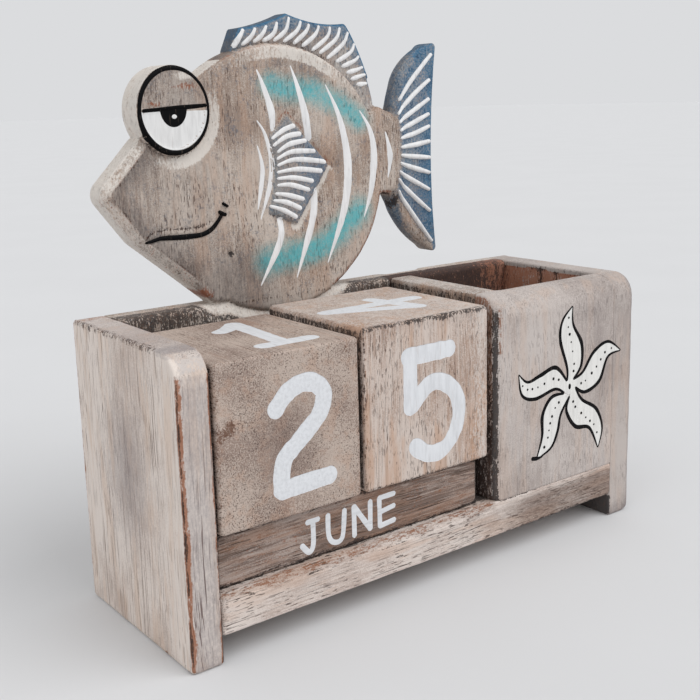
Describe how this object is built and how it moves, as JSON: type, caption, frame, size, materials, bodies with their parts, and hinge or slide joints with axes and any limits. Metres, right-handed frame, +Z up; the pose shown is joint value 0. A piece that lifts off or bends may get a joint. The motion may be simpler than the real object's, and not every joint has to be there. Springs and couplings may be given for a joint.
{
  "type": "desk calendar with pencil box",
  "caption": "Wooden perpetual desk calendar: date cubes stand on month bars in an open case, with a pencil box at one end and a carved fish on the back board.",
  "frame": {"origin": "on the table, under the middle of the case", "axes": "+X along the calendar towards the pencil box, +Y from the front to the back board, +Z up"},
  "size_m": [0.1864, 0.065, 0.1813],
  "materials": {
    "case_wood": "whitewashed and rubbed back, bare at the edges",
    "fish_wood": "grey wash with hand-painted marks",
    "cube_wood": "grey wash with scorched edges",
    "bar_wood": "brown-grey wash",
    "nail_steel": "dull"
  },
  "bodies": {
    "case": {"left_end_board": "case_wood", "right_end_board": "case_wood", "base_shelf": "case_wood", "fish_back_board": "fish_wood", "pencil_box_divider": "case_wood", "pencil_box_front": "case_wood", "left_end_nails": "nail_steel", "right_end_nails": "nail_steel", "back_board_nails": "nail_steel", "shelf_nails": "nail_steel"},
    "tens_cube": {"tens_cube": "cube_wood"},
    "units_cube": {"units_cube": "cube_wood"},
    "month_bar_rear": {"month_bar_rear": "bar_wood"},
    "month_bar_middle": {"month_bar_middle": "bar_wood"},
    "month_bar_front": {"month_bar_front": "bar_wood"}
  },
  "joints": [
    {"name": "tens_cube_lift", "type": "slide", "parent": "case", "child": "tens_cube", "axis": [0, 0, 1], "range_m": [0, 0.06]},
    {"name": "units_cube_lift", "type": "slide", "parent": "case", "child": "units_cube", "axis": [0, 0, 1], "range_m": [0, 0.06]},
    {"name": "rear_bar_pull", "type": "slide", "parent": "case", "child": "month_bar_rear", "axis": [0, -1, 0], "range_m": [0, 0.055]},
    {"name": "middle_bar_pull", "type": "slide", "parent": "month_bar_rear", "child": "month_bar_middle", "axis": [0, -1, 0], "range_m": [0, 0.038]},
    {"name": "front_bar_pull", "type": "slide", "parent": "month_bar_middle", "child": "month_bar_front", "axis": [0, -1, 0], "range_m": [0, 0.022]}
  ]
}
